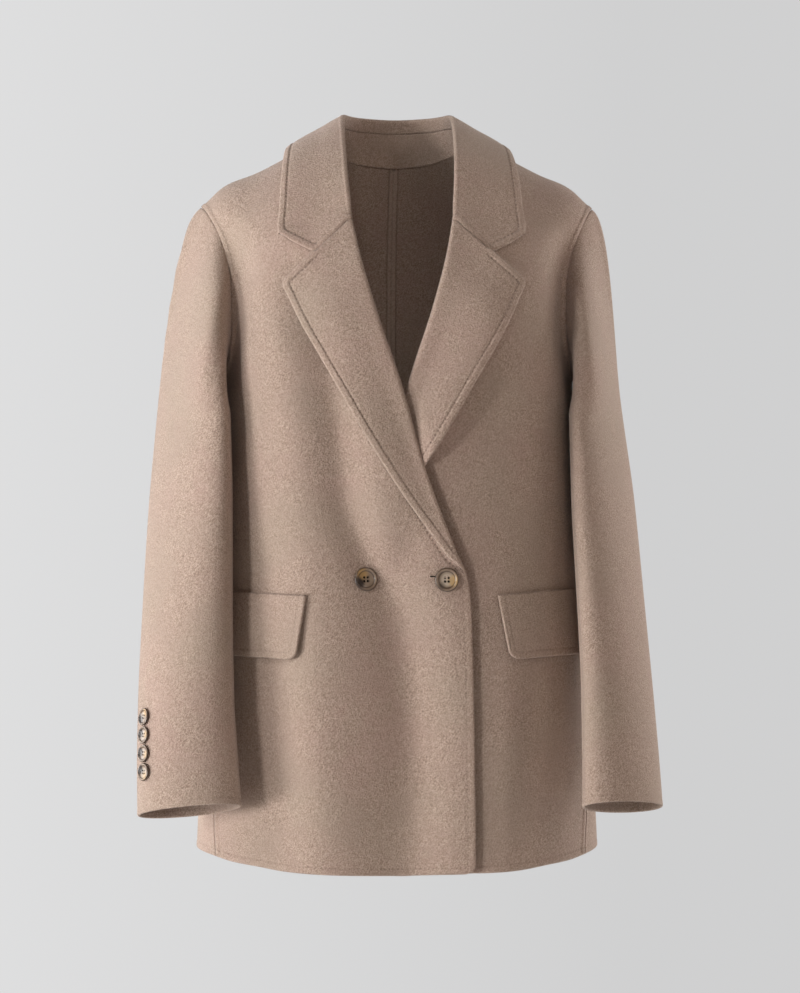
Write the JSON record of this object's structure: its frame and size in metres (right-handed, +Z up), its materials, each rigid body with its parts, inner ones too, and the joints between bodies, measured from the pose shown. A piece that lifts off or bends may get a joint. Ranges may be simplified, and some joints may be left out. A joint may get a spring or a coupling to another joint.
{
  "type": "short coat",
  "caption": "Double-breasted hip-length wool coat with a notched collar, flap pockets and long sleeves, filled out as when worn, open at neck, hem and cuffs.",
  "frame": {"origin": "in the middle of the neck opening, level with the neck seam where it crosses the shoulders: the coat hangs from the wearer's neck and shoulders here", "axes": "+Z up, the wearer faces -Y, the wearer's right is -X"},
  "size_m": [0.531, 0.3036, 0.7724],
  "materials": {
    "wool": "brushed double-faced wool, taupe, short diagonal nap",
    "horn": "polished brown horn with a pale middle"
  },
  "bodies": {
    "root": {"front_right": "wool", "front_left": "wool", "back_right": "wool", "back_left": "wool", "collar_leaf": "wool", "collar_stand": "wool", "sleeve_top_right": "wool", "sleeve_top_left": "wool", "sleeve_under_right": "wool", "sleeve_under_left": "wool", "flap_right": "wool", "flap_left": "wool", "button_front_right": "horn", "button_front_left": "horn", "button_cuff_right_1": "horn", "button_cuff_right_2": "horn", "button_cuff_right_3": "horn", "button_cuff_right_4": "horn", "button_cuff_left_1": "horn", "button_cuff_left_2": "horn", "button_cuff_left_3": "horn", "button_cuff_left_4": "horn"}
  },
  "joints": []
}
